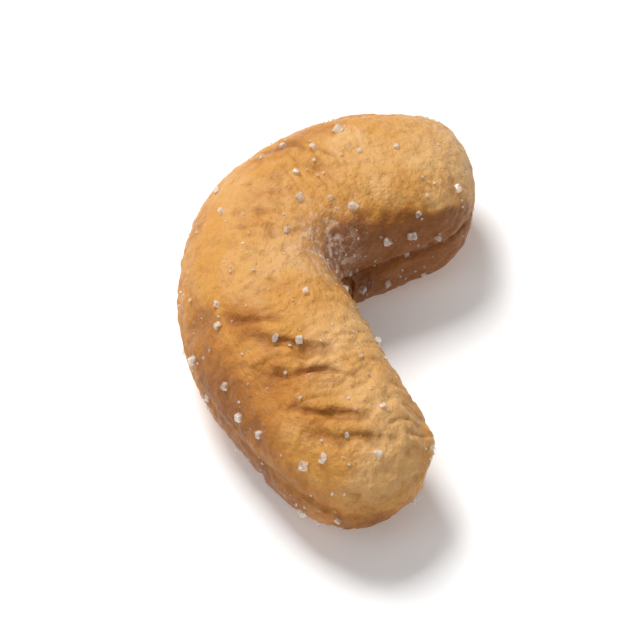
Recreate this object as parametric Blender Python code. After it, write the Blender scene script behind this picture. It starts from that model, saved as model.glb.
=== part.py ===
"""A salted cashew nut: one whole roasted kernel lying on its side, with salt grains stuck to it.

The kernel is a bent seed. A spine runs through its middle from the broad end to the narrow one, in
the plane where its two halves meet, which lies level. Every point of the skin belongs to a share of
the spine's length, from 0 to 1, and to an angle round it: 0 on the outer back, a quarter turn on
top, half a turn on the inner wall. The origin is under the middle of the nut, on the surface that
it rests on. +Z is up, +X runs along the nut's longest side towards the broad end, and the bend
opens towards -Y.
"""

import math
import random

import bmesh
import bpy
import numpy as np
from mathutils import Euler, Matrix, Vector, noise

MM = 0.001

# Spine: where it starts, how long it is, and how it turns
BROAD_TIP = (9.37 * MM, -8.41 * MM)
SPINE_LENGTH = 32.0 * MM
START_HEADING = math.radians(96.4)
BEND_TURN = math.radians(115.0)
BEND_CENTRE = 0.385
BEND_SPREAD = 0.205
BROAD_CURL = math.radians(3.0)
NARROW_CURL = math.radians(7.0)
CURL_SHARE = 0.1
SPINE_STEPS = 800

# Section: half sizes at stations along the spine, from the spine to each side
STATIONS = (0.0, 0.25, 0.5, 0.75, 1.0)
OUTER_HALF_WIDTHS = (5.45 * MM, 5.35 * MM, 5.3 * MM, 5.0 * MM, 4.2 * MM)
INNER_HALF_WIDTHS = (4.75 * MM, 4.8 * MM, 4.55 * MM, 4.35 * MM, 4.8 * MM)
UPPER_HEIGHTS = (4.2 * MM, 4.8 * MM, 5.0 * MM, 4.6 * MM, 3.9 * MM)
LOWER_HEIGHTS = (4.2 * MM, 4.5 * MM, 4.32 * MM, 4.48 * MM, 4.0 * MM)
BROAD_END_RADIUS = 3.6 * MM
NARROW_END_RADIUS = 4.4 * MM
OUTER_SQUARENESS = 2.15
INNER_SQUARENESS = 3.0

# Rest: the height of the spine, and the arch between the three low places of the underside
SPINE_HEIGHT = 4.2 * MM
UNDERSIDE_ARCH = 0.32 * MM
LOW_PLACES = (0.2, 0.5, 0.8)

# Seam where the halves meet
SEAM_OUTER_DEPTH = 0.16 * MM
SEAM_INNER_DEPTH = 0.4 * MM
SEAM_WIDTH = 0.36 * MM
SEAM_WAVER = 0.25 * MM
SEAM_WAVES = 2.6

# Root tip at the narrow end: a small tooth between two creases, on the inner side
ROOT_TIP_SHARE = 0.93
ROOT_TIP_ANGLE = math.radians(172)
ROOT_TIP_LENGTH = 2.6 * MM
ROOT_TIP_WIDTH = 1.1 * MM
ROOT_TIP_HEIGHT = 0.42 * MM
ROOT_TIP_TAPER = 0.35
ROOT_TIP_CREASE = 1.5

# Hollow in the inner wall at the bend, and the scoop that sets the wall's upper edge back above it
HOLLOW_SHARE = 0.42
HOLLOW_LENGTH = 4.6 * MM
HOLLOW_HEIGHT = 2.4 * MM
HOLLOW_DEPTH = 0.55 * MM
SCOOP_SHARE = 0.46
SCOOP_ANGLE = math.radians(138)
SCOOP_LENGTH = 3.4 * MM
SCOOP_WIDTH = 2.0 * MM
SCOOP_DEPTH = 0.85 * MM

# Cross wrinkles: share, angle, slant, half length, half width, depth
WRINKLES = (
    (0.705, 80, 0.70, 1.7 * MM, 0.42 * MM, 0.30 * MM),
    (0.750, 78, 0.65, 1.8 * MM, 0.42 * MM, 0.34 * MM),
    (0.845, 72, 0.85, 1.3 * MM, 0.48 * MM, 0.36 * MM),
    (0.900, 76, 0.60, 1.6 * MM, 0.45 * MM, 0.20 * MM),
    (0.620, 62, 0.40, 1.6 * MM, 0.45 * MM, 0.20 * MM),
    (0.560, 28, 0.20, 1.8 * MM, 0.50 * MM, 0.22 * MM),
    (0.300, 48, -0.25, 1.8 * MM, 0.50 * MM, 0.18 * MM),
    (0.450, 325, 0.20, 2.4 * MM, 0.55 * MM, 0.26 * MM),
    (0.520, 316, 0.10, 2.0 * MM, 0.50 * MM, 0.24 * MM),
    (0.240, 306, -0.20, 2.2 * MM, 0.55 * MM, 0.22 * MM),
    (0.780, 316, 0.25, 2.0 * MM, 0.50 * MM, 0.24 * MM),
    (0.370, 196, 0.10, 1.6 * MM, 0.40 * MM, 0.28 * MM),
    (0.430, 172, -0.15, 1.8 * MM, 0.40 * MM, 0.32 * MM),
    (0.490, 186, 0.15, 1.5 * MM, 0.40 * MM, 0.26 * MM),
)

# Dents: share, angle, radius, depth
DENTS = (
    (0.740, 51, 1.0 * MM, 0.30 * MM),
    (0.820, 90, 1.0 * MM, 0.28 * MM),
    (0.340, 98, 2.4 * MM, 0.18 * MM),
    (0.100, 30, 2.0 * MM, 0.20 * MM),
    (0.420, 345, 1.8 * MM, 0.20 * MM),
    (0.170, 205, 1.5 * MM, 0.24 * MM),
    (0.680, 200, 1.6 * MM, 0.22 * MM),
    (0.880, 12, 1.5 * MM, 0.18 * MM),
)

# Lumps: the low swells all over the skin
LUMP_SPACING = 6.0 * MM
LUMP_HEIGHT = 0.22 * MM

# Share of the end rounding at which the relief has its full height
RELIEF_FULL = 0.6

# Salt grains
SALT_SEED = 11
SALT_COUNT = 64
SALT_SMALLEST = 0.3 * MM
SALT_LARGEST = 0.52 * MM
SALT_CLEARANCE = 1.2 * MM
SALT_FLATTEST = 0.55
SALT_LOWEST = 1.3 * MM
SALT_STAND_OUT = 0.12
SALT_END_MARGIN = 0.03
SLOPE_STEP = 1e-3

# Mesh
RINGS = 84
SEGMENTS = 44
RING_EVENING = 0.35
SEAM_CROWDING = 0.5

KERNEL_COLOUR = (0.62, 0.33, 0.11, 1.0)
KERNEL_ROUGHNESS = 0.48


def rise(share):
    """How much of the bend lies before this share of the spine, before scaling."""
    return 0.5 * (1.0 + np.tanh((share - BEND_CENTRE) / BEND_SPREAD))


def spine_table():
    """Share, x, y and heading at even steps along the spine."""
    share = np.linspace(0.0, 1.0, SPINE_STEPS + 1)
    bend = (rise(share) - rise(0.0)) / (rise(1.0) - rise(0.0))
    heading = START_HEADING + BEND_TURN * bend
    heading = heading - BROAD_CURL * np.exp(-share / CURL_SHARE)
    heading = heading + NARROW_CURL * np.exp((share - 1.0) / CURL_SHARE)
    step = SPINE_LENGTH / SPINE_STEPS
    run_x = (np.cos(heading[1:]) + np.cos(heading[:-1])) * step / 2
    run_y = (np.sin(heading[1:]) + np.sin(heading[:-1])) * step / 2
    x = BROAD_TIP[0] + np.concatenate(([0.0], np.cumsum(run_x)))
    y = BROAD_TIP[1] + np.concatenate(([0.0], np.cumsum(run_y)))
    return share, x, y, heading


SPINE = spine_table()


def profile(values):
    """The smooth curve through one value for each station."""
    return np.polynomial.Polynomial.fit(STATIONS, values, len(STATIONS) - 1)


OUTER = profile(OUTER_HALF_WIDTHS)
INNER = profile(INNER_HALF_WIDTHS)
UPPER = profile(UPPER_HEIGHTS)
LOWER = profile(LOWER_HEIGHTS)


def end_rounding(share):
    """From 0 at the tips to 1 between them, as the nut's two ends round off."""
    run = share * SPINE_LENGTH
    broad = 1.0 - np.exp(-2.0 * run / BROAD_END_RADIUS)
    narrow = 1.0 - np.exp(-2.0 * (SPINE_LENGTH - run) / NARROW_END_RADIUS)
    return np.sqrt(np.clip(broad * narrow, 0.0, None)) + 1e-6


def turn_between(angle, centre):
    """The signed angle from centre to angle, at most half a turn."""
    return (angle - centre + math.pi) % (2 * math.pi) - math.pi


def bell(distance, width):
    """1 at distance 0, falling smoothly to nothing a few widths away."""
    return np.exp(-((distance / width) ** 2))


def relief(share, angle, reach, points):
    """How far the skin stands above the plain form: seam, root tip, hollow, wrinkles, dents, lumps."""
    side = np.cos(angle)
    height = np.sin(angle) * reach
    seam_height = SEAM_WAVER * np.sin(2 * math.pi * SEAM_WAVES * share)
    inner_part = (1.0 - side) / 2
    depth = SEAM_OUTER_DEPTH + (SEAM_INNER_DEPTH - SEAM_OUTER_DEPTH) * inner_part
    total = -depth * bell(height - seam_height, SEAM_WIDTH)

    along = (share - ROOT_TIP_SHARE) * SPINE_LENGTH
    across = turn_between(angle, ROOT_TIP_ANGLE) * reach
    tooth_width = ROOT_TIP_WIDTH * (1.0 - ROOT_TIP_TAPER * along / ROOT_TIP_LENGTH)
    ridge = (1.0 + ROOT_TIP_CREASE) * bell(across, tooth_width)
    tooth = ridge - ROOT_TIP_CREASE * bell(across, 2.0 * tooth_width)
    total = total + ROOT_TIP_HEIGHT * tooth * bell(along, ROOT_TIP_LENGTH)

    along = (share - HOLLOW_SHARE) * SPINE_LENGTH
    facing_in = np.clip(-side, 0.0, 1.0) ** 2
    total = total - HOLLOW_DEPTH * facing_in * bell(along, HOLLOW_LENGTH) * bell(height, HOLLOW_HEIGHT)
    along = (share - SCOOP_SHARE) * SPINE_LENGTH
    across = turn_between(angle, SCOOP_ANGLE) * reach
    total = total - SCOOP_DEPTH * bell(along, SCOOP_LENGTH) * bell(across, SCOOP_WIDTH)

    for place, degrees, slant, half_length, half_width, depth in WRINKLES:
        across = turn_between(angle, math.radians(degrees)) * reach
        along = (share - place) * SPINE_LENGTH - slant * across
        total = total - depth * bell(along, half_width) * bell(across, half_length)

    for place, degrees, radius, depth in DENTS:
        across = turn_between(angle, math.radians(degrees)) * reach
        along = (share - place) * SPINE_LENGTH
        total = total - depth * bell(along, radius) * bell(across, radius)

    swells = np.array([noise.noise(Vector(p) / LUMP_SPACING) for p in points])
    return total + LUMP_HEIGHT * swells


def underside_lift(share, angle):
    """How far the underside arches up between its low places."""
    nearest = np.min([np.abs(share - place) for place in LOW_PLACES], axis=0)
    half_gap = (LOW_PLACES[1] - LOW_PLACES[0]) / 2
    rising = np.clip(nearest / half_gap, 0.0, 1.0)
    return UNDERSIDE_ARCH * (1.0 - np.cos(math.pi * rising)) / 2 * np.clip(-np.sin(angle), 0.0, 1.0)


def placed(share, angle, reach):
    """The points that lie at this reach from the spine."""
    x = np.interp(share, SPINE[0], SPINE[1])
    y = np.interp(share, SPINE[0], SPINE[2])
    heading = np.interp(share, SPINE[0], SPINE[3])
    outward = np.cos(angle) * reach
    return np.stack(
        (x + np.sin(heading) * outward, y - np.cos(heading) * outward, SPINE_HEIGHT + np.sin(angle) * reach),
        axis=-1,
    )


def skin(share, angle):
    """The points of the skin at these shares of the spine and angles round it."""
    side = np.cos(angle)
    up = np.sin(angle)
    inner_part = (1.0 - side) / 2
    upper_part = (1.0 + up) / 2
    per_width = (1.0 - inner_part) / OUTER(share) + inner_part / INNER(share)
    per_height = upper_part / UPPER(share) + (1.0 - upper_part) / LOWER(share)
    squareness = OUTER_SQUARENESS + (INNER_SQUARENESS - OUTER_SQUARENESS) * inner_part
    total = (np.abs(side) * per_width) ** squareness + (np.abs(up) * per_height) ** squareness
    reach = end_rounding(share) * total ** (-1.0 / squareness)
    plain = placed(share, angle, reach)
    fade = np.clip(end_rounding(share) / RELIEF_FULL, 0.0, 1.0)
    points = placed(share, angle, reach + fade * relief(share, angle, reach, plain))
    points[:, 2] += underside_lift(share, angle)
    points[:, 2] = np.maximum(points[:, 2], 0.0)
    return points


def new_material(name, colour, roughness):
    """A plain material."""
    material = bpy.data.materials.new(name)
    material.use_nodes = True
    shader = material.node_tree.nodes["Principled BSDF"]
    shader.inputs["Base Color"].default_value = colour
    shader.inputs["Roughness"].default_value = roughness
    shader.inputs["Metallic"].default_value = 0.0
    material.diffuse_color = colour
    return material


def new_object(name, bm, collection):
    """The bmesh as an object in the collection."""
    mesh = bpy.data.meshes.new(name)
    bm.to_mesh(mesh)
    bm.free()
    item = bpy.data.objects.new(name, mesh)
    collection.objects.link(item)
    return item


def make_kernel(collection):
    """The seed: a sphere whose poles become the two tips and whose rings run round the spine."""
    bm = bmesh.new()
    bmesh.ops.create_uvsphere(bm, u_segments=SEGMENTS, v_segments=RINGS, radius=1.0)
    ball = np.array([v.co[:] for v in bm.verts])
    polar = np.arccos(np.clip(ball[:, 2], -1.0, 1.0))
    polar = polar + RING_EVENING * np.sin(2 * polar) / 2
    round_angle = np.arctan2(ball[:, 1], ball[:, 0])
    round_angle = round_angle - SEAM_CROWDING * np.sin(2 * round_angle) / 2
    for vertex, point in zip(bm.verts, skin((1.0 - np.cos(polar)) / 2, round_angle)):
        vertex.co = point
    bmesh.ops.recalc_face_normals(bm, faces=bm.faces)
    bmesh.ops.triangulate(bm, faces=bm.faces)
    return new_object("kernel", bm, collection)


def salt_places():
    """Place, outward direction, size, turn and proportions of each grain."""
    draw = random.Random(SALT_SEED)
    grains = []
    while len(grains) < SALT_COUNT:
        share = draw.uniform(SALT_END_MARGIN, 1.0 - SALT_END_MARGIN)
        angle = draw.uniform(0.0, 2 * math.pi)
        size = draw.uniform(SALT_SMALLEST, SALT_LARGEST)
        turn = Euler([draw.uniform(0.0, 2 * math.pi) for _ in range(3)])
        proportions = Vector((1.0, draw.uniform(SALT_FLATTEST, 1.0), draw.uniform(SALT_FLATTEST, 1.0)))
        shares = np.array((share, share + SLOPE_STEP, share))
        angles = np.array((angle, angle, angle + SLOPE_STEP))
        here, ahead, beside = (Vector(p) for p in skin(shares, angles))
        outward = (ahead - here).cross(beside - here).normalized()
        crowded = any((here - other[0]).length < SALT_CLEARANCE for other in grains)
        if here.z < SALT_LOWEST or crowded:
            continue
        grains.append((here, outward, size, turn, proportions))
    return grains


def make_salt(collection):
    """The grains: small cut blocks, sunk about half way into the skin."""
    for here, outward, size, turn, proportions in salt_places():
        bm = bmesh.new()
        bmesh.ops.create_cube(bm, size=size)
        place = Matrix.Translation(here + outward * size * SALT_STAND_OUT)
        shape = turn.to_matrix().to_4x4() @ Matrix.Diagonal(proportions).to_4x4()
        bmesh.ops.transform(bm, matrix=place @ shape, verts=bm.verts)
        new_object("salt_grain", bm, collection)


def fuse_salt(kernel, collection):
    """Joins every grain to the kernel, and removes the loose grains."""
    union = kernel.modifiers.new("salt", "BOOLEAN")
    union.operation = "UNION"
    union.operand_type = "COLLECTION"
    union.collection = collection
    union.solver = "EXACT"
    bpy.context.view_layer.objects.active = kernel
    bpy.ops.object.modifier_apply(modifier=union.name)
    for grain in list(collection.objects):
        bpy.data.objects.remove(grain)
    bpy.data.collections.remove(collection)


def main():
    """Builds the nut."""
    for item in list(bpy.data.objects):
        bpy.data.objects.remove(item)
    parts = bpy.data.collections.new("salted_cashew_nut")
    grains = bpy.data.collections.new("salt")
    bpy.context.scene.collection.children.link(parts)
    bpy.context.scene.collection.children.link(grains)

    kernel = make_kernel(parts)
    kernel.data.materials.append(new_material("roasted_kernel", KERNEL_COLOUR, KERNEL_ROUGHNESS))
    make_salt(grains)
    fuse_salt(kernel, grains)
    kernel.data.shade_smooth()


main()
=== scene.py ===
"""The looks of one salted cashew nut: a finely modelled roasted kernel, its salt, and a plain studio.

Sizes are in metres, and in millimetres where a class says so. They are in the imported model's frame:
+Z is up, +X runs along the nut's longest side towards its broad end, and the bend opens towards -Y.
The kernel's form follows a spine, as its solid does: a point of the skin has a share of the spine's
length, from 0 at the broad tip to 1 at the narrow one, and an angle round it, 0 on the outer back, a
quarter turn on top and half a turn on the inner wall. On that form lie the fine wrinkles, pits and
pimples of roasted skin.
"""

import logging
import math
import random
from dataclasses import dataclass, field
from enum import Enum

import bmesh
import bpy
import numpy as np
from mathutils import Euler, Matrix, Vector, noise


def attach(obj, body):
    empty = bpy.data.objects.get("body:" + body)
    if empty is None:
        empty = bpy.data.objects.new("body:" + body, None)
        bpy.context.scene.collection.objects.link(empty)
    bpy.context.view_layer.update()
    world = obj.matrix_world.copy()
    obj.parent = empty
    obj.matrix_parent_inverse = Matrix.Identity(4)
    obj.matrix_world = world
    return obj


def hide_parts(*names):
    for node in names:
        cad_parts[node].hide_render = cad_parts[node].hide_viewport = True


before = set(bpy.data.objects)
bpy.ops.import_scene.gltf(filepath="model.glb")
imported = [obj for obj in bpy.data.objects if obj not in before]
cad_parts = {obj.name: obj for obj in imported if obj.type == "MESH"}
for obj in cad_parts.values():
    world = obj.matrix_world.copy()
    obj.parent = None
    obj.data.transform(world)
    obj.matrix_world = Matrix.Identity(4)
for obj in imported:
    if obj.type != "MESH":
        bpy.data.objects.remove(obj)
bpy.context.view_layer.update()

MM = 0.001
PER_MM = 1000.0
BODY = "root"
NODE = "kernel"
LOG = logging.getLogger("cashew")

Numbers = np.ndarray
Triple = tuple[float, float, float]
Colour = Triple
Socket = bpy.types.NodeSocket
Source = Socket | float | Triple


def bell(distance: Numbers, width: Numbers | float) -> Numbers:
    """A smooth bump: 1 at distance 0, and almost nothing a few widths away."""
    return np.exp(-((distance / width) ** 2))


def smooth_step(value: Numbers, low: float, high: float) -> Numbers:
    """0 below low, 1 above high, and a smooth rise between them."""
    part = np.clip((value - low) / (high - low), 0.0, 1.0)
    return part * part * (3.0 - 2.0 * part)


def turn_between(angle: Numbers, centre: float) -> Numbers:
    """The signed angle from centre to angle, at most half a turn."""
    return (angle - centre + math.pi) % (2 * math.pi) - math.pi


def even(reach: float) -> Triple:
    """The same reach along all three axes."""
    return (reach, reach, reach)


def into_scene(name: str, bm: bmesh.types.BMesh, material: bpy.types.Material) -> bpy.types.Object:
    """Turns a mesh that is done into an object of the scene.

    Args:
        name: The object's name.
        bm: The mesh, which is freed.
        material: What covers it.

    Returns:
        The object.
    """
    mesh = bpy.data.meshes.new(name)
    bm.to_mesh(mesh)
    bm.free()
    mesh.materials.append(material)
    made = bpy.data.objects.new(name, mesh)
    bpy.context.scene.collection.objects.link(made)
    return made


@dataclass(frozen=True)
class Swells:
    """A layer of smooth noise: its reach along each axis, its height, and a shift that sets it apart."""

    reach: Triple
    height: float = 1.0
    shift: float = 0.0

    def at(self, points: Numbers) -> Numbers:
        """Reads the layer.

        Args:
            points: Rows of x, y and z, in the reach's unit.

        Returns:
            One height for each row, either side of 0.
        """
        scaled = points / np.array(self.reach) + self.shift
        return self.height * np.array([noise.noise(Vector(row)) for row in scaled])


@dataclass(frozen=True)
class Wrinkle:
    """A short furrow across the nut: its middle, its slant, and its half sizes and depth in millimetres."""

    share: float
    degrees: float
    slant: float
    half_length: float
    half_width: float
    depth: float


@dataclass(frozen=True)
class Dent:
    """A round shallow dent: its middle, and its radius and depth in millimetres."""

    share: float
    degrees: float
    radius: float
    depth: float


WRINKLES = (
    Wrinkle(0.705, 80, 0.70, 1.7, 0.42, 0.30),
    Wrinkle(0.750, 78, 0.65, 1.8, 0.42, 0.34),
    Wrinkle(0.845, 72, 0.85, 1.3, 0.48, 0.36),
    Wrinkle(0.900, 76, 0.60, 1.6, 0.45, 0.20),
    Wrinkle(0.620, 62, 0.40, 1.6, 0.45, 0.20),
    Wrinkle(0.560, 28, 0.20, 1.8, 0.50, 0.22),
    Wrinkle(0.300, 48, -0.25, 1.8, 0.50, 0.18),
    Wrinkle(0.450, 325, 0.20, 2.4, 0.55, 0.26),
    Wrinkle(0.520, 316, 0.10, 2.0, 0.50, 0.24),
    Wrinkle(0.240, 306, -0.20, 2.2, 0.55, 0.22),
    Wrinkle(0.780, 316, 0.25, 2.0, 0.50, 0.24),
    Wrinkle(0.370, 196, 0.10, 1.6, 0.40, 0.28),
    Wrinkle(0.430, 172, -0.15, 1.8, 0.40, 0.32),
    Wrinkle(0.490, 186, 0.15, 1.5, 0.40, 0.26),
)

DENTS = (
    Dent(0.740, 51, 1.0, 0.30),
    Dent(0.820, 90, 1.0, 0.28),
    Dent(0.340, 98, 2.4, 0.18),
    Dent(0.100, 30, 2.0, 0.20),
    Dent(0.420, 345, 1.8, 0.20),
    Dent(0.170, 205, 1.5, 0.24),
    Dent(0.680, 200, 1.6, 0.22),
    Dent(0.880, 12, 1.5, 0.18),
)


@dataclass(frozen=True)
class Patch:
    """A soft-edged patch of colour on the skin: its middle, its half sizes in millimetres, its strength."""

    share: float
    degrees: float
    half_length: float
    half_width: float
    strength: float


# Patches of darker roast; two of them are also painted shade, as marked.
TOAST_AND_SHADE_PATCHES = (
    Patch(0.69, 12, 5.0, 3.3, 0.95),
    Patch(0.78, 337, 5.5, 3.5, 1.12),
    Patch(0.90, 352, 3.0, 2.6, 0.66),
    Patch(0.76, 20, 3.4, 1.9, 0.88),
    Patch(0.77, 70, 1.7, 1.8, 0.46),
    Patch(0.54, 2, 3.5, 2.6, 0.50),
    Patch(0.74, 48, 2.8, 2.4, 0.60),
    Patch(0.28, 52, 3.6, 1.4, 0.50),
    Patch(0.42, 30, 3.0, 1.6, 0.35),
    # Darker roast and painted shade low on the narrow tip.
    Patch(0.97, 302, 3.0, 2.8, 1.05),
    Patch(0.40, 75, 5.0, 3.0, 0.29),
    Patch(0.15, 25, 6.0, 2.8, 0.36),
    Patch(0.62, 58, 1.8, 1.6, 0.62),
    Patch(0.84, 60, 1.6, 1.3, 0.50),
    Patch(0.20, 335, 4.0, 2.8, 0.45),
    Patch(0.66, 262, 4.5, 3.4, 0.50),
    # Painted shade on the inner wall near the bend.
    Patch(0.30, 196, 4.2, 2.0, 1.60),
    Patch(0.02, 215, 2.4, 3.0, 0.55),
    Patch(0.40, 270, 5.0, 2.6, 0.35),
    Patch(0.09, 300, 2.6, 2.4, 0.45),
)

# Paler patches, most on top: partly a paler roast, partly painted light on the lit top.
PALE_AND_LIT_PATCHES = (
    Patch(0.05, 85, 4.0, 4.0, 0.80),
    Patch(0.19, 92, 4.0, 3.0, 0.60),
    Patch(0.50, 112, 3.2, 1.8, 0.45),
    Patch(0.72, 120, 4.5, 2.2, 0.65),
    Patch(0.84, 108, 3.2, 2.4, 0.66),
    Patch(0.95, 96, 2.6, 2.4, 0.60),
    Patch(0.33, 325, 3.0, 2.2, 0.45),
    Patch(0.86, 250, 2.6, 2.0, 0.35),
)


@dataclass
class Spine:
    """The curve through the middle of the nut, level, from the broad tip to the narrow one."""

    broad_tip: tuple[float, float] = (9.37 * MM, -8.41 * MM)
    length: float = 32.0 * MM
    start_heading: float = math.radians(96.4)
    bend_turn: float = math.radians(115.0)
    bend_centre: float = 0.385
    bend_spread: float = 0.205
    broad_curl: float = math.radians(3.0)
    narrow_curl: float = math.radians(7.0)
    curl_share: float = 0.1
    steps: int = 800

    def __post_init__(self) -> None:
        """Works out the table of shares, places and headings."""
        share = np.linspace(0.0, 1.0, self.steps + 1)
        bend = (self._rise(share) - self._rise(0.0)) / (self._rise(1.0) - self._rise(0.0))
        heading = self.start_heading + self.bend_turn * bend
        heading = heading - self.broad_curl * np.exp(-share / self.curl_share)
        heading = heading + self.narrow_curl * np.exp((share - 1.0) / self.curl_share)
        step = self.length / self.steps
        run_x = (np.cos(heading[1:]) + np.cos(heading[:-1])) * step / 2
        run_y = (np.sin(heading[1:]) + np.sin(heading[:-1])) * step / 2
        self.shares = share
        self.xs = self.broad_tip[0] + np.concatenate(([0.0], np.cumsum(run_x)))
        self.ys = self.broad_tip[1] + np.concatenate(([0.0], np.cumsum(run_y)))
        self.headings = heading

    def _rise(self, share: Numbers | float) -> Numbers | float:
        """How much of the bend lies before this share, before scaling."""
        return 0.5 * (1.0 + np.tanh((share - self.bend_centre) / self.bend_spread))

    def at(self, share: Numbers) -> list[Numbers]:
        """The x, y and heading at these shares of the spine."""
        return [np.interp(share, self.shares, values) for values in (self.xs, self.ys, self.headings)]


@dataclass
class KernelForm:
    """The nut's form, the same as its solid's: sections round the spine, with the larger relief."""

    spine: Spine = field(default_factory=Spine)
    stations: tuple[float, ...] = (0.0, 0.25, 0.5, 0.75, 1.0)
    outer_half_widths: tuple[float, ...] = (5.45 * MM, 5.35 * MM, 5.3 * MM, 5.0 * MM, 4.2 * MM)
    inner_half_widths: tuple[float, ...] = (4.75 * MM, 4.8 * MM, 4.55 * MM, 4.35 * MM, 4.8 * MM)
    upper_heights: tuple[float, ...] = (4.2 * MM, 4.8 * MM, 5.0 * MM, 4.6 * MM, 3.9 * MM)
    lower_heights: tuple[float, ...] = (4.2 * MM, 4.5 * MM, 4.32 * MM, 4.48 * MM, 4.0 * MM)
    broad_end_radius: float = 3.6 * MM
    narrow_end_radius: float = 4.4 * MM
    outer_squareness: float = 2.15
    inner_squareness: float = 3.0
    spine_height: float = 4.2 * MM
    underside_arch: float = 0.32 * MM
    low_places: tuple[float, ...] = (0.2, 0.5, 0.8)
    seam_outer_depth: float = 0.16 * MM
    seam_inner_depth: float = 0.4 * MM
    seam_width: float = 0.36 * MM
    seam_waver: float = 0.25 * MM
    seam_waves: float = 2.6
    root_tip_share: float = 0.93
    root_tip_angle: float = math.radians(172)
    root_tip_length: float = 2.6 * MM
    root_tip_width: float = 1.1 * MM
    root_tip_height: float = 0.42 * MM
    root_tip_taper: float = 0.35
    root_tip_crease: float = 1.5
    hollow_share: float = 0.42
    hollow_length: float = 4.6 * MM
    hollow_height: float = 2.4 * MM
    hollow_depth: float = 0.55 * MM
    scoop_share: float = 0.46
    scoop_angle: float = math.radians(138)
    scoop_length: float = 3.4 * MM
    scoop_width: float = 2.0 * MM
    scoop_depth: float = 0.85 * MM
    lumps: Swells = Swells(even(6.0 * MM), 0.22 * MM)
    relief_full: float = 0.6
    least_rounding: float = 1e-6

    def __post_init__(self) -> None:
        """Turns the half sizes at the stations into smooth curves."""
        self.outer = self._profile(self.outer_half_widths)
        self.inner = self._profile(self.inner_half_widths)
        self.upper = self._profile(self.upper_heights)
        self.lower = self._profile(self.lower_heights)

    def _profile(self, values: tuple[float, ...]) -> np.polynomial.Polynomial:
        """The smooth curve through one value for each station."""
        return np.polynomial.Polynomial.fit(self.stations, values, len(self.stations) - 1)

    def end_rounding(self, share: Numbers) -> Numbers:
        """How the nut's two ends round off.

        Args:
            share: Shares of the spine.

        Returns:
            From almost 0 at the tips to 1 between them.
        """
        run = share * self.spine.length
        broad = 1.0 - np.exp(-2.0 * run / self.broad_end_radius)
        narrow = 1.0 - np.exp(-2.0 * (self.spine.length - run) / self.narrow_end_radius)
        return np.sqrt(np.clip(broad * narrow, 0.0, None)) + self.least_rounding

    def seam_distance(self, share: Numbers, angle: Numbers, reach: Numbers) -> Numbers:
        """The height above the wavering seam line, in metres."""
        return np.sin(angle) * reach - self.seam_waver * np.sin(2 * math.pi * self.seam_waves * share)

    def furrows(
        self,
        share: Numbers,
        angle: Numbers,
        reach: Numbers,
        sway: Numbers | float = 0.0,
        sharpness: float = 1.0,
    ) -> Numbers:
        """The depth of the cross wrinkles.

        Args:
            share: Shares of the spine.
            angle: Angles round the spine.
            reach: Distances from the spine of the plain form.
            sway: How far along the spine each point's wrinkles stray from their straight course.
            sharpness: How many times narrower than the wrinkles themselves.

        Returns:
            Depths in metres.
        """
        depth = np.zeros(len(share))
        for furrow in WRINKLES:
            across = turn_between(angle, math.radians(furrow.degrees)) * reach
            along = (share - furrow.share) * self.spine.length - furrow.slant * across + sway
            shape = bell(along, furrow.half_width * MM / sharpness) * bell(across, furrow.half_length * MM)
            depth = depth + furrow.depth * MM * shape
        return depth

    def relief(self, share: Numbers, angle: Numbers, reach: Numbers, points: Numbers) -> Numbers:
        """How far the skin stands above the plain form.

        Args:
            share: Shares of the spine.
            angle: Angles round the spine.
            reach: Distances from the spine of the plain form.
            points: The plain form's points.

        Returns:
            The seam, root tip, hollow, scoop, wrinkles, dents and lumps together, in metres.
        """
        side = np.cos(angle)
        inner_part = (1.0 - side) / 2
        depth = self.seam_outer_depth + (self.seam_inner_depth - self.seam_outer_depth) * inner_part
        total = -depth * bell(self.seam_distance(share, angle, reach), self.seam_width)

        along = (share - self.root_tip_share) * self.spine.length
        across = turn_between(angle, self.root_tip_angle) * reach
        tooth_width = self.root_tip_width * (1.0 - self.root_tip_taper * along / self.root_tip_length)
        ridge = (1.0 + self.root_tip_crease) * bell(across, tooth_width)
        tooth = ridge - self.root_tip_crease * bell(across, 2.0 * tooth_width)
        total = total + self.root_tip_height * tooth * bell(along, self.root_tip_length)

        along = (share - self.hollow_share) * self.spine.length
        facing_in = np.clip(-side, 0.0, 1.0) ** 2
        sunk = facing_in * bell(np.sin(angle) * reach, self.hollow_height)
        total = total - self.hollow_depth * sunk * bell(along, self.hollow_length)
        along = (share - self.scoop_share) * self.spine.length
        across = turn_between(angle, self.scoop_angle) * reach
        total = total - self.scoop_depth * bell(along, self.scoop_length) * bell(across, self.scoop_width)

        total = total - self.furrows(share, angle, reach)
        for dent in DENTS:
            across = turn_between(angle, math.radians(dent.degrees)) * reach
            along = (share - dent.share) * self.spine.length
            radius = dent.radius * MM
            total = total - dent.depth * MM * bell(along, radius) * bell(across, radius)
        return total + self.lumps.at(points)

    def reach(self, share: Numbers, angle: Numbers) -> Numbers:
        """The plain form's distance from the spine.

        Args:
            share: Shares of the spine.
            angle: Angles round it.

        Returns:
            Distances in metres.
        """
        side = np.cos(angle)
        up = np.sin(angle)
        inner_part = (1.0 - side) / 2
        upper_part = (1.0 + up) / 2
        per_width = (1.0 - inner_part) / self.outer(share) + inner_part / self.inner(share)
        per_height = upper_part / self.upper(share) + (1.0 - upper_part) / self.lower(share)
        squareness = self.outer_squareness + (self.inner_squareness - self.outer_squareness) * inner_part
        total = (np.abs(side) * per_width) ** squareness + (np.abs(up) * per_height) ** squareness
        return self.end_rounding(share) * total ** (-1.0 / squareness)

    def placed(self, share: Numbers, angle: Numbers, reach: Numbers) -> Numbers:
        """Points round the spine.

        Args:
            share: Shares of the spine.
            angle: Angles round it.
            reach: Distances from it.

        Returns:
            Rows of x, y and z in metres.
        """
        x, y, heading = self.spine.at(share)
        outward = np.cos(angle) * reach
        height = self.spine_height + np.sin(angle) * reach
        return np.stack((x + np.sin(heading) * outward, y - np.cos(heading) * outward, height), axis=-1)

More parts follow.
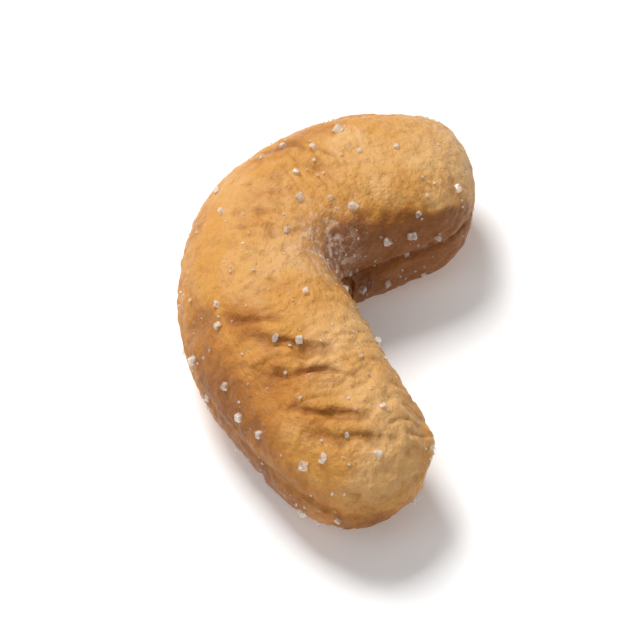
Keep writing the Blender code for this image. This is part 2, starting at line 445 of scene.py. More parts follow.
    def straight(self, share: Numbers, angle: Numbers, reach: Numbers) -> Numbers:
        """The same points on the nut with its bend straightened out, in millimetres."""
        rows = (share * self.spine.length, np.cos(angle) * reach, np.sin(angle) * reach)
        return np.stack(rows, axis=-1) * PER_MM

    def underside_lift(self, share: Numbers, angle: Numbers) -> Numbers:
        """How far the underside arches up between its low places.

        Args:
            share: Shares of the spine.
            angle: Angles round it.

        Returns:
            Lifts in metres, 0 on the upper side.
        """
        nearest = np.min([np.abs(share - place) for place in self.low_places], axis=0)
        half_gap = (self.low_places[1] - self.low_places[0]) / 2
        rising = np.clip(nearest / half_gap, 0.0, 1.0)
        facing_down = np.clip(-np.sin(angle), 0.0, 1.0)
        return self.underside_arch * (1.0 - np.cos(math.pi * rising)) / 2 * facing_down

    def skin(self, share: Numbers, angle: Numbers) -> Numbers:
        """The points of the skin, without its finest relief.

        Args:
            share: Shares of the spine.
            angle: Angles round it.

        Returns:
            Rows of x, y and z in metres, none of them below the surface that the nut rests on.
        """
        reach = self.reach(share, angle)
        plain = self.placed(share, angle, reach)
        fade = np.clip(self.end_rounding(share) / self.relief_full, 0.0, 1.0)
        points = self.placed(share, angle, reach + fade * self.relief(share, angle, reach, plain))
        points[:, 2] += self.underside_lift(share, angle)
        points[:, 2] = np.maximum(points[:, 2], 0.0)
        return points


@dataclass(frozen=True)
class SkinTexture:
    """The finest relief of roasted skin.

    A length that is a multiple of MM is in metres, and any other is in millimetres.
    """

    ripples: Swells = Swells((0.62, 2.0, 2.0), 1.0, 1.7)
    ripple_height: float = 0.15 * MM
    ripple_stray: Swells = Swells(even(3.0), 0.8, 3.1)
    ripple_patches: Swells = Swells(even(5.0), 1.0, 7.3)
    ripple_patch_rise: tuple[float, float] = (-0.05, 0.5)
    narrow_arm_start: tuple[float, float] = (15.0, 19.0)
    narrow_arm_end: tuple[float, float] = (27.5, 30.5)
    narrow_arm_top: float = 0.75
    narrow_arm_below: float = 0.15
    top_side: tuple[float, float] = (-0.5, 2.5)
    outer_side: tuple[float, float] = (1.8, 4.2)
    outer_calm: float = 0.75
    inner_side: tuple[float, float] = (2.6, 4.4)
    inner_calm: float = 0.55
    folds: Swells = Swells((3.6, 0.7, 0.7), 1.0, 5.9)
    fold_height: float = 0.025 * MM
    fold_middle: float = 0.3
    swells: Swells = Swells(even(1.9), 0.07 * MM, 2.2)
    bumps: Swells = Swells(even(0.80), 0.10 * MM, 6.6)
    pimples: Swells = Swells(even(0.38), 0.06 * MM, 9.4)
    crumbs: Swells = Swells(even(0.5), 0.13 * MM, 8.8)
    crack_depth: float = 0.12 * MM
    crack_width: float = 0.12 * MM
    crack_share: float = 0.5
    crack_breaks: Swells = Swells(even(1.6), 0.5, 4.8)
    crack_side: tuple[float, float] = (-1.0, 3.0)
    crease_share: float = 0.45
    crease_sharpness: float = 2.2
    sway: Swells = Swells(even(1.7), 0.7 * MM, 0.6)
    spot_seed: int = 5
    spot_count: int = 260
    spot_radius: tuple[float, float] = (0.12, 0.34)
    pit_depth: float = 0.06 * MM
    blister_height: float = 0.09 * MM

    def furrowed(self, place: Numbers) -> Numbers:
        """How wrinkled each place is: in patches, and most on top of the narrow arm.

        Args:
            place: Places on the straightened nut, in millimetres.

        Returns:
            From 0 to 1 for each place.
        """
        along, outward, up = place.T
        arm_start, arm_full = self.narrow_arm_start
        arm_fade, arm_end = self.narrow_arm_end
        arm = smooth_step(along, arm_start, arm_full) * smooth_step(-along, -arm_end, -arm_fade)
        more = arm * (self.narrow_arm_top * smooth_step(up, *self.top_side) - self.narrow_arm_below)
        calm_outside = 1.0 - self.outer_calm * smooth_step(outward, *self.outer_side)
        calm_inside = 1.0 - self.inner_calm * smooth_step(-outward, *self.inner_side)
        patches = self.ripple_patches.at(place) + more
        return smooth_step(patches, *self.ripple_patch_rise) * calm_outside * calm_inside

    def spots(self, points: Numbers) -> Numbers:
        """Small round blisters and pits at seeded places.

        Args:
            points: Points on the nut, in millimetres.

        Returns:
            Heights in metres, negative in the pits.
        """
        draw = random.Random(self.spot_seed)
        height = np.zeros(len(points))
        for _ in range(self.spot_count):
            centre = points[draw.randrange(len(points))]
            radius = draw.uniform(*self.spot_radius)
            away = np.linalg.norm(points - centre, axis=1)
            height = height + draw.uniform(-self.pit_depth, self.blister_height) * bell(away, radius)
        return height

    def height(self, points: Numbers, place: Numbers, seam_distance: Numbers, crumbly: Numbers) -> Numbers:
        """How far the finest relief stands out.

        Args:
            points: Points on the nut, in millimetres.
            place: The same points on the straightened nut, in millimetres.
            seam_distance: Their height above the seam line, in metres.
            crumbly: How crumbly the skin is there, from 0 to 1.

        Returns:
            Heights in metres, negative in furrows and pits.
        """
        strayed = place.copy()
        strayed[:, 0] += self.ripple_stray.at(place)
        ripple = np.clip(1.0 - 2.0 * np.abs(self.ripples.at(strayed)), 0.0, 1.0)
        total = -self.ripple_height * self.furrowed(place) * ripple**2
        total = total + self.fold_height * (np.abs(self.folds.at(place)) - self.fold_middle)
        total = total + self.swells.at(place) + self.bumps.at(points) + self.pimples.at(points)
        broken = self.crack_share + self.crack_breaks.at(place)
        broken = broken * smooth_step(-place[:, 1], *self.crack_side)
        total = total - self.crack_depth * broken * bell(seam_distance, self.crack_width)
        return total + crumbly * self.crumbs.at(points) + self.spots(points)


@dataclass(frozen=True)
class Pattern:
    """A noise pattern in a material: how many swells to a millimetre, its finer layers, and its warp."""

    scale: float
    detail: float = 3.0
    rough: float = 0.5
    warp: float = 0.0


@dataclass(frozen=True)
class Ramp:
    """A smooth rise: from least, while a value is at low, to most, when it has come to high."""

    low: float
    high: float
    most: float = 1.0
    least: float = 0.0


class ShaderBench:
    """Makes one material's nodes and joins them. The Mix node's colour sockets are known by number."""

    mix_colours: tuple[int, int] = (6, 7)
    mixed_colour: int = 2

    def __init__(self, name: str) -> None:
        """Starts a material.

        Args:
            name: The material's name.
        """
        self.material = bpy.data.materials.new(name)
        self.material.use_nodes = True
        self.tree = self.material.node_tree
        self.shader = self.tree.nodes["Principled BSDF"]

    def node(self, kind: str, feeds: dict[str | int, Source], **settings: str) -> bpy.types.Node:
        """Makes a node.

        Args:
            kind: Blender's name for its kind.
            feeds: What goes into its sockets, by their names or numbers.
            settings: What else is set on it.

        Returns:
            The node.
        """
        made = self.tree.nodes.new(kind)
        for key, value in settings.items():
            setattr(made, key, value)
        for key, source in feeds.items():
            self.feed(made.inputs[key], source)
        return made

    def feed(self, target: Socket, source: Source) -> None:
        """Gives a socket a value, or joins it to another node's output.

        Args:
            target: The socket that is fed.
            source: An output, or a value.
        """
        if isinstance(source, Socket):
            self.tree.links.new(source, target)
        else:
            target.default_value = source

    def complete(self, feeds: dict[str, Source]) -> bpy.types.Material:
        """Feeds the shader itself.

        Args:
            feeds: What goes into its sockets. A value that is the same all over is set on the socket.

        Returns:
            The material.
        """
        for name, source in feeds.items():
            self.feed(self.shader.inputs[name], source)
        return self.material

    def attribute(self, name: str, output: str = "Fac") -> Socket:
        """A value that the mesh holds at each of its points."""
        return self.node("ShaderNodeAttribute", {}, attribute_name=name).outputs[output]

    def object_place(self) -> Socket:
        """The place on the object, in millimetres."""
        return self.stretched(self.node("ShaderNodeTexCoord", {}).outputs["Object"], even(PER_MM))

    def stretched(self, place: Socket, scale: Triple) -> Socket:
        """A place, multiplied by a scale along each axis."""
        return self.node("ShaderNodeMapping", {"Vector": place, "Scale": scale}).outputs["Vector"]

    def noise(self, place: Socket, pattern: Pattern) -> Socket:
        """A noise pattern.

        Args:
            place: Where to read it.
            pattern: What it is like.

        Returns:
            The pattern's value, from 0 to 1.
        """
        feeds = {
            "Vector": place,
            "Scale": pattern.scale,
            "Detail": pattern.detail,
            "Roughness": pattern.rough,
            "Distortion": pattern.warp,
        }
        return self.node("ShaderNodeTexNoise", feeds).outputs["Fac"]

    def cells(self, place: Socket, scale: float) -> Socket:
        """The distance to the nearest of many scattered points, this many to each unit of the place."""
        return self.node("ShaderNodeTexVoronoi", {"Vector": place, "Scale": scale}).outputs["Distance"]

    def rise(self, value: Socket, ramp: Ramp) -> Socket:
        """Follows a ramp.

        Args:
            value: What drives it.
            ramp: The ramp.

        Returns:
            Between the ramp's least and most.
        """
        feeds = {
            "Value": value,
            "From Min": ramp.low,
            "From Max": ramp.high,
            "To Min": ramp.least,
            "To Max": ramp.most,
        }
        return self.node("ShaderNodeMapRange", feeds, interpolation_type="SMOOTHSTEP").outputs["Result"]

    def combine(self, operation: str, first: Source, second: Source) -> Socket:
        """Puts two values together by the operation that Blender calls this."""
        return self.node("ShaderNodeMath", {0: first, 1: second}, operation=operation).outputs["Value"]

    def tint(self, share: Source, first: Source, second: Source) -> Socket:
        """A colour between two.

        Args:
            share: How much of the second colour there is.
            first: A socket, or three numbers.
            second: The same.

        Returns:
            The mixed colour.
        """
        feeds = {0: share}
        for slot, colour in zip(self.mix_colours, (first, second)):
            feeds[slot] = (*colour, 1.0) if isinstance(colour, tuple) else colour
        return self.node("ShaderNodeMix", feeds, data_type="RGBA").outputs[self.mixed_colour]

    def bump(
        self, relief: Socket, height: float, strength: float = 1.0, under: Socket | None = None
    ) -> Socket:
        """Fine relief in the shading.

        Args:
            relief: The relief, from 0 to 1.
            height: How high 1 is, in metres.
            strength: How much of it shows.
            under: The relief that it lies on.

        Returns:
            The surface's direction.
        """
        feeds = {"Height": relief, "Distance": height, "Strength": strength}
        if under is not None:
            feeds["Normal"] = under
        return self.node("ShaderNodeBump", feeds).outputs["Normal"]


@dataclass(frozen=True)
class RoastedFinish:
    """Roasted cashew skin: golden tan, toasted in patches, with a thin film of oil."""

    golden: Colour = (0.68, 0.318, 0.066)
    pale: Colour = (0.78, 0.45, 0.175)
    amber: Colour = (0.525, 0.200, 0.030)
    # The toasted and scorched browns colour toasted skin and also paint shade on the inner wall, underside
    # and furrows.
    toasted: Colour = (0.30, 0.100, 0.016)
    scorched: Colour = (0.12, 0.036, 0.010)
    flaky: Colour = (0.40, 0.185, 0.115)
    fleck: Colour = (0.84, 0.60, 0.44)
    broad_tone: Pattern = Pattern(0.28, 2.0, 0.55, 0.4)
    mottle: Pattern = Pattern(0.9, 5.0, 0.62, 0.6)
    speck: Pattern = Pattern(4.5, 3.0, 0.6)
    crumb: Pattern = Pattern(1.9, 4.0, 0.7)
    torn_edge: Pattern = Pattern(1.1, 4.0, 0.7)
    gloss: Pattern = Pattern(1.6, 3.0, 0.6)
    grain: Pattern = Pattern(1.0, 4.0, 0.62)
    grain_stretch: Triple = (1.6, 3.6, 3.6)
    orange_peel: Pattern = Pattern(4.0, 4.0, 0.65)
    pore_scale: float = 1.3
    mottle_middle: float = 0.5
    pale_mottling: float = 1.2
    toast_and_shade_mottling: float = 0.9
    broad_rise: Ramp = Ramp(0.40, 0.66, 0.50)
    pale_rise: Ramp = Ramp(0.05, 0.95)
    mottle_rise: Ramp = Ramp(0.50, 0.68, 0.45)
    amber_rise: Ramp = Ramp(0.12, 0.55, 0.85)
    toasted_rise: Ramp = Ramp(0.38, 1.0, 0.95)
    scorched_rise: Ramp = Ramp(1.1, 1.8, 0.75)
    furrow_shade_rise: Ramp = Ramp(0.15, 1.0, 0.58)
    crest_highlight_rise: Ramp = Ramp(-0.25, -1.0, 0.45)
    crumb_rise: Ramp = Ramp(0.47, 0.58)
    torn_rise: Ramp = Ramp(0.46, 0.60)
    dark_speck_rise: Ramp = Ramp(0.62, 0.74, 0.35)
    pale_speck_rise: Ramp = Ramp(0.36, 0.26, 0.35)
    pore_rise: Ramp = Ramp(0.10, 0.03, 0.25)
    flaky_cover: float = 0.7
    fleck_cover: float = 0.95
    torn_cover: float = 0.6
    roughness: Ramp = Ramp(0.3, 0.7, 0.54, 0.34)
    grain_height: float = 0.11 * MM
    orange_peel_height: float = 0.12 * MM
    under_skin: float = 0.15
    under_skin_colours: Triple = (1.0, 0.45, 0.18)
    under_skin_depth: float = 0.5 * MM
    bending: float = 1.46
    shine: float = 0.28
    oil: float = 0.04
    oil_roughness: float = 0.22

    def mottled(self, bench: ShaderBench, value: Socket, much: float) -> Socket:
        """Breaks up a value with the skin's mottling.

        Args:
            bench: The material's bench.
            value: The value.
            much: How strongly.

        Returns:
            The uneven value.
        """
        mottle = bench.noise(bench.object_place(), self.mottle)
        sway = bench.combine("SUBTRACT", mottle, self.mottle_middle)
        return bench.combine("ADD", value, bench.combine("MULTIPLY", sway, much))

    def roasted(self, bench: ShaderBench) -> Socket:
        """The colour of the roast: pale to golden, then amber and toasted in patches, with painted light
        and shade.

        Args:
            bench: The material's bench.

        Returns:
            The colour.
        """
        broad = bench.noise(bench.attribute("place", "Vector"), self.broad_tone)
        # The pale patches, mostly on top, are partly painted light.
        light = self.mottled(bench, bench.attribute("pale"), self.pale_mottling)
        light = bench.combine("ADD", light, bench.rise(broad, self.broad_rise))
        colour = bench.tint(bench.rise(light, self.pale_rise), self.golden, self.pale)
        mottle = bench.noise(bench.object_place(), self.mottle)
        colour = bench.tint(bench.rise(mottle, self.mottle_rise), colour, self.amber)
        # Toasted patches together with painted shade on the underside and the inner wall; the scorched step
        # is painted deep shade on the inner wall.
        toast_and_shade = self.mottled(bench, bench.attribute("toast_and_shade"), self.toast_and_shade_mottling)
        colour = bench.tint(bench.rise(toast_and_shade, self.amber_rise), colour, self.amber)
        colour = bench.tint(bench.rise(toast_and_shade, self.toasted_rise), colour, self.toasted)
        colour = bench.tint(bench.rise(toast_and_shade, self.scorched_rise), colour, self.scorched)
        # Painted shade in furrows, pits and the seam, and painted highlight on the crests, from how low the
        # relief lies.
        sunk = bench.attribute("sunk")
        colour = bench.tint(bench.rise(sunk, self.furrow_shade_rise), colour, self.toasted)
        return bench.tint(bench.rise(sunk, self.crest_highlight_rise), colour, self.pale)

    def flecked(self, bench: ShaderBench, colour: Socket) -> Socket:
        """Lays crumbs and torn skin in the bend and along the seam, and specks and pores all over.

        Args:
            bench: The material's bench.
            colour: The colour of the roast.

        Returns:
            The finished colour.
        """
        here = bench.object_place()
        crumbly = bench.attribute("crumbly")
        crumbs = bench.rise(bench.noise(here, self.crumb), self.crumb_rise)
        crumbs = bench.combine("MULTIPLY", crumbly, crumbs)
        colour = bench.tint(bench.combine("MULTIPLY", crumbly, self.flaky_cover), colour, self.flaky)
        colour = bench.tint(bench.combine("MULTIPLY", crumbs, self.fleck_cover), colour, self.fleck)
        torn = bench.rise(bench.noise(here, self.torn_edge), self.torn_rise)
        torn = bench.combine("MULTIPLY", bench.attribute("parting"), torn)
        colour = bench.tint(bench.combine("MULTIPLY", torn, self.torn_cover), colour, self.fleck)
        speck = bench.noise(here, self.speck)
        colour = bench.tint(bench.rise(speck, self.dark_speck_rise), colour, self.toasted)
        colour = bench.tint(bench.rise(speck, self.pale_speck_rise), colour, self.pale)
        pores = bench.cells(here, self.pore_scale)
        return bench.tint(bench.rise(pores, self.pore_rise), colour, self.scorched)

    def relief(self, bench: ShaderBench) -> Socket:
        """The grain along the nut and the fine orange peel on it.

        Args:
            bench: The material's bench.

        Returns:
            The surface's direction.
        """
        along = bench.stretched(bench.attribute("place", "Vector"), self.grain_stretch)
        under = bench.bump(bench.noise(along, self.grain), self.grain_height)
        peel = bench.noise(bench.object_place(), self.orange_peel)
        return bench.bump(peel, self.orange_peel_height, under=under)

    def build(self) -> bpy.types.Material:
        """Makes the material.

        Returns:
            The material.
        """
        bench = ShaderBench("roasted_skin")
        gloss = bench.noise(bench.object_place(), self.gloss)
        return bench.complete(
            {
                "Base Color": self.flecked(bench, self.roasted(bench)),
                "Roughness": bench.rise(gloss, self.roughness),
                "Normal": self.relief(bench),
                "Subsurface Weight": self.under_skin,
                "Subsurface Radius": self.under_skin_colours,
                "Subsurface Scale": self.under_skin_depth,
                "IOR": self.bending,
                "Specular IOR Level": self.shine,
                "Coat Weight": self.oil,
                "Coat Roughness": self.oil_roughness,
            }
        )


@dataclass(frozen=True)
class SaltFinish:
    """Salt: half clear crystal with a milky core, through which the skin's gold shows."""

    milky: Colour = (0.97, 0.93, 0.86)
    clear: Colour = (0.98, 0.91, 0.78)
    cloud: Pattern = Pattern(2.5, 3.0, 0.6)
    cover: Ramp = Ramp(0.35, 0.65, 0.60, 0.20)
    roughness: Ramp = Ramp(0.3, 0.7, 0.32, 0.10)
    pitting: float = 0.02 * MM
    pitting_strength: float = 0.4
    core: float = 0.7
    core_colours: Triple = (1.0, 1.0, 1.0)
    core_depth: float = 0.25 * MM
    bending: float = 1.544

    def build(self) -> bpy.types.Material:
        """Makes the material.

        Returns:
            The material.
        """
        bench = ShaderBench("salt_crystal")
        cloud = bench.noise(bench.object_place(), self.cloud)
        return bench.complete(
            {
                "Base Color": bench.tint(cloud, self.milky, self.clear),
                "Roughness": bench.rise(cloud, self.roughness),
                "Alpha": bench.rise(cloud, self.cover),
                "Normal": bench.bump(cloud, self.pitting, self.pitting_strength),
                "Subsurface Weight": self.core,
                "Subsurface Radius": self.core_colours,
                "Subsurface Scale": self.core_depth,
                "IOR": self.bending,
            }
        )


@dataclass(frozen=True)
class FloorFinish:
    """A plain pale matt surface."""

    colour: Colour = (0.92, 0.92, 0.92)
    roughness: float = 0.75
    glow_colour: Colour = (1.0, 1.0, 1.0)
    glow: float = 0.15

    def build(self) -> bpy.types.Material:
        """Makes the material.

        Returns:
            The material.
        """
        return ShaderBench("pale_floor").complete(
            {
                "Base Color": (*self.colour, 1.0),
                "Roughness": self.roughness,
                "Emission Color": (*self.glow_colour, 1.0),
                "Emission Strength": self.glow,
            }
        )


@dataclass
class KernelSkin:
    """The roasted kernel: a sphere whose poles become the two tips and whose rings run round the spine.

    A length that is a multiple of MM is in metres, and any other is in millimetres.
    """

    form: KernelForm
    texture: SkinTexture = field(default_factory=SkinTexture)
    finish: RoastedFinish = field(default_factory=RoastedFinish)
    segments: int = 280
    rings: int = 340
    ring_evening: float = 0.35
    tip_calm: float = 0.35
    # Painted shade on the underside, which faces away from the light.
    underside_shade: float = 0.45
    underside_rise: tuple[float, float] = (0.2, 0.8)
    # Painted shade on the inner wall: where its upper edge lies and how strong it is along the spine.
    wall_edge_shares: tuple[float, ...] = (0.0, 0.13, 0.255, 0.395, 0.51, 0.635, 0.8)
    wall_edge_degrees: tuple[float, ...] = (38, 42, 48, 54, 51, 45, 38)
    wall_shares: tuple[float, ...] = (0.0, 0.25, 0.36, 0.46, 0.60, 0.80, 0.95)
    wall_shade_strengths: tuple[float, ...] = (0.95, 1.1, 1.1, 0.65, 0.35, 0.3, 0.0)
    wall_edge_rise: tuple[float, float] = (-10.0, 12.0)
    wall_edge_stray: Swells = Swells(even(1.3), 7.0, 2.9)
    wall_edge_frays: Swells = Swells(even(0.5), 4.0, 1.1)
    wall_depth_rise: tuple[float, float] = (0.2, 3.8)
    wall_depth_stray: Swells = Swells(even(1.6), 0.9, 5.3)
    crumbly_share: float = 0.44
    crumbly_degrees: float = 138.0
    crumbly_half_length: float = 3.3
    crumbly_half_turn: float = 28.0
    parting_width: float = 0.16 * MM
    parting_side: tuple[float, float] = (0.0, 3.0)
    furrow_shading: float = 0.8
    relief_shading: float = 0.6
    full_shading: float = 0.16 * MM

    def patched(self, patches: tuple[Patch, ...], place: Numbers) -> Numbers:
        """How strongly the patches colour each place.

        Args:
            patches: The patches.
            place: Places on the straightened nut, in millimetres.

        Returns:
            The strongest of the patches at each place.
        """
        strength = np.zeros(len(place))
        for patch in patches:
            share = np.array([patch.share])
            angle = np.array([math.radians(patch.degrees)])
            middle = self.form.straight(share, angle, self.form.reach(share, angle))[0]
            away = place - middle
            along = bell(away[:, 0], patch.half_length)
            across = bell(np.hypot(away[:, 1], away[:, 2]), patch.half_width)
            strength = np.maximum(strength, patch.strength * along * across)
        return strength

    def toast_and_shade(self, angle: Numbers, place: Numbers) -> Numbers:
        """How dark each point is coloured: the toasted patches, and painted shade on the underside."""
        below = self.underside_shade * smooth_step(-np.sin(angle), *self.underside_rise)
        return np.maximum(self.patched(TOAST_AND_SHADE_PATCHES, place), below)

    def wall(self, share: Numbers, angle: Numbers, place: Numbers, points: Numbers) -> Numbers:
        """Where shade is painted on the inner wall of the broad arm and the bend.

        Args:
            share: Shares of the spine.
            angle: Angles round it.
            place: The places on the straightened nut, in millimetres.
            points: The points there, in millimetres.

        Returns:
            How dark the painted shade is, with an uneven edge along the top of the wall.
        """
        edge = np.interp(share, self.wall_edge_shares, self.wall_edge_degrees)
        inside = edge - np.abs(np.degrees(turn_between(angle, math.pi)))
        inside = inside + self.wall_edge_stray.at(points) + self.wall_edge_frays.at(points)
        depth = self.wall_depth_stray.at(points) - place[:, 1]
        strength = np.interp(share, self.wall_shares, self.wall_shade_strengths)
        strength = strength * smooth_step(depth, *self.wall_depth_rise)
        return strength * smooth_step(inside, *self.wall_edge_rise)

    def crumbly(self, share: Numbers, angle: Numbers) -> Numbers:
        """Where skin flakes and crumbs cling in the bend.

        Args:
            share: Shares of the spine.
            angle: Angles round it.

        Returns:
            From 0 to 1 for each point.
        """
        along = (share - self.crumbly_share) * self.form.spine.length * PER_MM
        across = np.degrees(turn_between(angle, math.radians(self.crumbly_degrees)))
        return bell(along, self.crumbly_half_length) * bell(across, self.crumbly_half_turn)

    def record(self, mesh: bpy.types.Mesh, name: str, values: Numbers) -> None:
        """Keeps one value for each point of the mesh, by this name."""
        mesh.attributes.new(name, "FLOAT", "POINT").data.foreach_set("value", values)

    def build(self) -> bpy.types.Object:
        """Makes the kernel's mesh, dresses it and sets it on the nut's body, in place of its solid.

        Returns:
            The kernel.
        """
        form = self.form
        texture = self.texture
        bm = bmesh.new()
        bmesh.ops.create_uvsphere(bm, u_segments=self.segments, v_segments=self.rings, radius=1.0)
        ball = np.array([vertex.co[:] for vertex in bm.verts])
        polar = np.arccos(np.clip(ball[:, 2], -1.0, 1.0))
        share = (1.0 - np.cos(polar + self.ring_evening * np.sin(2 * polar) / 2)) / 2
        angle = np.arctan2(ball[:, 1], ball[:, 0])
        for vertex, point in zip(bm.verts, form.skin(share, angle)):
            vertex.co = point
        bmesh.ops.recalc_face_normals(bm, faces=bm.faces)
        bm.normal_update()

        reach = form.reach(share, angle)
        place = form.straight(share, angle, reach)
        points = np.array([vertex.co[:] for vertex in bm.verts]) * PER_MM
        seam_distance = form.seam_distance(share, angle, reach)
        crumbly = self.crumbly(share, angle)
        sway = texture.sway.at(points)
        straight_furrows = form.furrows(share, angle, reach)
        swaying = form.furrows(share, angle, reach, sway)
        crease = form.furrows(share, angle, reach, sway, texture.crease_sharpness)
        fine = texture.height(points, place, seam_distance, crumbly)
        fine = fine + straight_furrows - swaying - texture.crease_share * crease
        fine = fine * np.clip(form.end_rounding(share) / self.tip_calm, 0.0, 1.0)
        for vertex, height in zip(bm.verts, fine):
            vertex.co = vertex.co + vertex.normal * height
            vertex.co.z = max(vertex.co.z, 0.0)

        kernel = into_scene("roasted_kernel", bm, self.finish.build())
        mesh = kernel.data
        mesh.shade_smooth()
        mesh.attributes.new("place", "FLOAT_VECTOR", "POINT").data.foreach_set("vector", place.ravel())
        # Toasted patches together with painted shade on the underside and on the inner wall.
        toast_and_shade = np.maximum(self.toast_and_shade(angle, place), self.wall(share, angle, place, points))
        # How low the relief lies, which the material turns into painted shade in furrows and painted
        # highlight on crests.
        sunk = self.furrow_shading * swaying - self.relief_shading * fine
        parting = bell(seam_distance, self.parting_width) * smooth_step(-place[:, 1], *self.parting_side)
        self.record(mesh, "toast_and_shade", toast_and_shade)
        self.record(mesh, "pale", self.patched(PALE_AND_LIT_PATCHES, place))
        self.record(mesh, "sunk", np.clip(sunk / self.full_shading, -1.0, 1.0))
        self.record(mesh, "crumbly", crumbly)
        self.record(mesh, "parting", parting)
        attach(kernel, BODY)
        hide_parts(NODE)
        return kernel


class Grade(Enum):
    """The two sizes of salt on the nut."""

    COARSE = "salt_grains"
    FINE = "fine_salt"


@dataclass(frozen=True)
class Grains:
    """How many grains a grade of salt has, how large they are and how far apart they lie."""

    seed: int
    count: int
    smallest: float
    largest: float
    clearance: float
    lowest: float


GRAINS = {
    Grade.COARSE: Grains(
        seed=11, count=64, smallest=0.30 * MM, largest=0.52 * MM, clearance=1.2 * MM, lowest=1.3 * MM
    ),
    Grade.FINE: Grains(
        seed=23, count=420, smallest=0.06 * MM, largest=0.18 * MM, clearance=0.25 * MM, lowest=0.4 * MM
    ),
}


@dataclass
class SaltCoat:
    """Salt of one grade, stuck to the skin at seeded places."""

    form: KernelForm
    grade: Grade
    flattest: float = 0.55
    stand_out: float = 0.12
    end_margin: float = 0.03
    slope_step: float = 1e-3
    chip: float = 0.09
    jitter: float = 0.08

    def places(self) -> list[tuple[Vector, Vector, float, Euler, Vector]]:
        """Draws the grains.

        Returns:
            Place, outward direction, size, turn and proportions of each grain.
        """
        lot = GRAINS[self.grade]
        draw = random.Random(lot.seed)
        grains: list[tuple[Vector, Vector, float, Euler, Vector]] = []
        while len(grains) < lot.count:
            share = draw.uniform(self.end_margin, 1.0 - self.end_margin)
            angle = draw.uniform(0.0, 2 * math.pi)
            size = draw.uniform(lot.smallest, lot.largest)
            turn = Euler([draw.uniform(0.0, 2 * math.pi) for _ in range(3)])
            proportions = Vector((1.0, draw.uniform(self.flattest, 1.0), draw.uniform(self.flattest, 1.0)))
            shares = np.array((share, share + self.slope_step, share))
            angles = np.array((angle, angle, angle + self.slope_step))
            here, ahead, beside = (Vector(point) for point in self.form.skin(shares, angles))
            outward = (ahead - here).cross(beside - here).normalized()
            crowded = any((here - other[0]).length < lot.clearance for other in grains)
            if here.z < lot.lowest or crowded:
                continue
            grains.append((here, outward, size, turn, proportions))
        return grains

    def build(self, material: bpy.types.Material) -> bpy.types.Object:
        """Makes the grains as one piece: cut blocks with chipped edges, sunk about half way in.

        Args:
            material: The salt's material.

        Returns:
            The salt.
        """
        chips = random.Random(GRAINS[self.grade].seed + 1)
        bm = bmesh.new()
        for here, outward, size, turn, proportions in self.places():
            block = bmesh.ops.create_cube(bm, size=size)["verts"]
            edges = list(dict.fromkeys(edge for vertex in block for edge in vertex.link_edges))
            faces = list(dict.fromkeys(face for vertex in block for face in vertex.link_faces))
            made = bmesh.ops.bevel(
                bm,
                geom=block + edges + faces,
                offset=size * self.chip,
                affect="EDGES",
                segments=1,
                profile=0.5,
                material=-1,
            )
            corners = list(dict.fromkeys(vertex for face in made["faces"] for vertex in face.verts))
            for corner in corners:
                corner.co += Vector([chips.uniform(-1.0, 1.0) * size * self.jitter for _ in range(3)])
            place = Matrix.Translation(here + outward * size * self.stand_out)
            shape = turn.to_matrix().to_4x4() @ Matrix.Diagonal(proportions).to_4x4()
            bmesh.ops.transform(bm, matrix=place @ shape, verts=corners)
        bmesh.ops.recalc_face_normals(bm, faces=bm.faces)
        salt = into_scene(self.grade.value, bm, material)
        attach(salt, BODY)
        if self.grade is Grade.COARSE:
            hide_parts(NODE)
        return salt


@dataclass(frozen=True)
class Lamp:
    """A square soft light: its name, its place and side in metres, and its power in watts."""

    name: str
    place: Triple
    side: float
    power: float


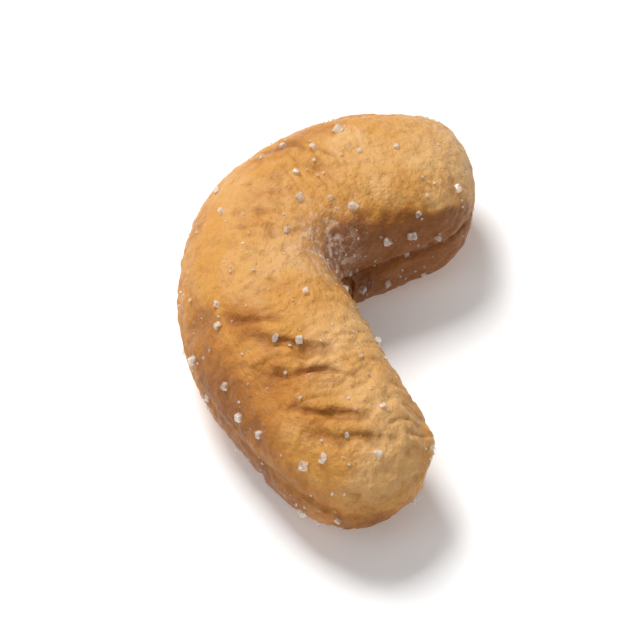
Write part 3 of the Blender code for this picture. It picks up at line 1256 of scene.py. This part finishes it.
@dataclass
class Studio:
    """A plain pale floor, soft light from above and behind, and the camera at the photograph's angle."""

    floor_finish: FloorFinish = field(default_factory=FloorFinish)
    floor_radius: float = 1.2
    floor_segments: int = 96
    lamps: tuple[Lamp, ...] = (
        Lamp("key_light", (0.13, 0.10, 0.30), 0.13, 1.08),
        Lamp("fill_light", (-0.20, 0.16, 0.34), 0.25, 0.26),
    )
    aim: Triple = (0.0, 0.4 * MM, 4.0 * MM)
    view_elevation: float = math.radians(52.0)
    view_distance: float = 0.40
    lens: float = 400.0
    nearest: float = 0.01
    farthest: float = 10.0
    world_colour: Colour = (1.0, 1.0, 1.0)
    world_strength: float = 0.28

    def floor(self) -> None:
        """Makes the surface that the nut rests on."""
        bm = bmesh.new()
        bmesh.ops.create_circle(bm, cap_ends=True, segments=self.floor_segments, radius=self.floor_radius)
        floor = into_scene("floor", bm, self.floor_finish.build())

    def light(self, lamp: Lamp) -> None:
        """Sets up a lamp that faces the nut.

        Args:
            lamp: What it is like.
        """
        data = bpy.data.lights.new(lamp.name, "AREA")
        data.shape = "SQUARE"
        data.size = lamp.side
        data.energy = lamp.power
        light = bpy.data.objects.new(lamp.name, data)
        light.location = lamp.place
        light.rotation_euler = (Vector(self.aim) - Vector(lamp.place)).to_track_quat("-Z", "Y").to_euler()
        light.visible_camera = False
        bpy.context.scene.collection.objects.link(light)

    def world(self) -> None:
        """Makes an even pale surround."""
        world = bpy.data.worlds.new("surround")
        world.use_nodes = True
        background = world.node_tree.nodes["Background"]
        background.inputs["Color"].default_value = (*self.world_colour, 1.0)
        background.inputs["Strength"].default_value = self.world_strength
        bpy.context.scene.world = world

    def camera(self) -> None:
        """Sets up the camera, looking along +X and down, as the photograph looks at its nut."""
        data = bpy.data.cameras.new("camera")
        data.lens = self.lens
        data.clip_start = self.nearest
        data.clip_end = self.farthest
        back = Vector((-math.cos(self.view_elevation), 0.0, math.sin(self.view_elevation)))
        camera = bpy.data.objects.new("camera", data)
        camera.location = Vector(self.aim) + back * self.view_distance
        camera.rotation_euler = (-back).to_track_quat("-Z", "Y").to_euler()
        bpy.context.scene.collection.objects.link(camera)
        bpy.context.scene.camera = camera

    def build(self) -> None:
        """Makes the floor, the lights, the surround and the camera."""
        self.floor()
        for lamp in self.lamps:
            self.light(lamp)
        self.world()
        self.camera()
        bpy.context.scene.view_settings.view_transform = "Standard"


def report(piece: bpy.types.Object) -> None:
    """Logs a finished piece and how many faces it has."""
    LOG.info("%s: %d faces", piece.name, len(piece.data.polygons))


def main() -> None:
    """Builds the nut and its studio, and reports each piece."""
    logging.basicConfig(level=logging.INFO, format="%(message)s")
    form = KernelForm()
    report(KernelSkin(form).build())
    salt_material = SaltFinish().build()
    for grade in Grade:
        report(SaltCoat(form, grade).build(salt_material))
    Studio().build()


if __name__ == "__main__":
    main()
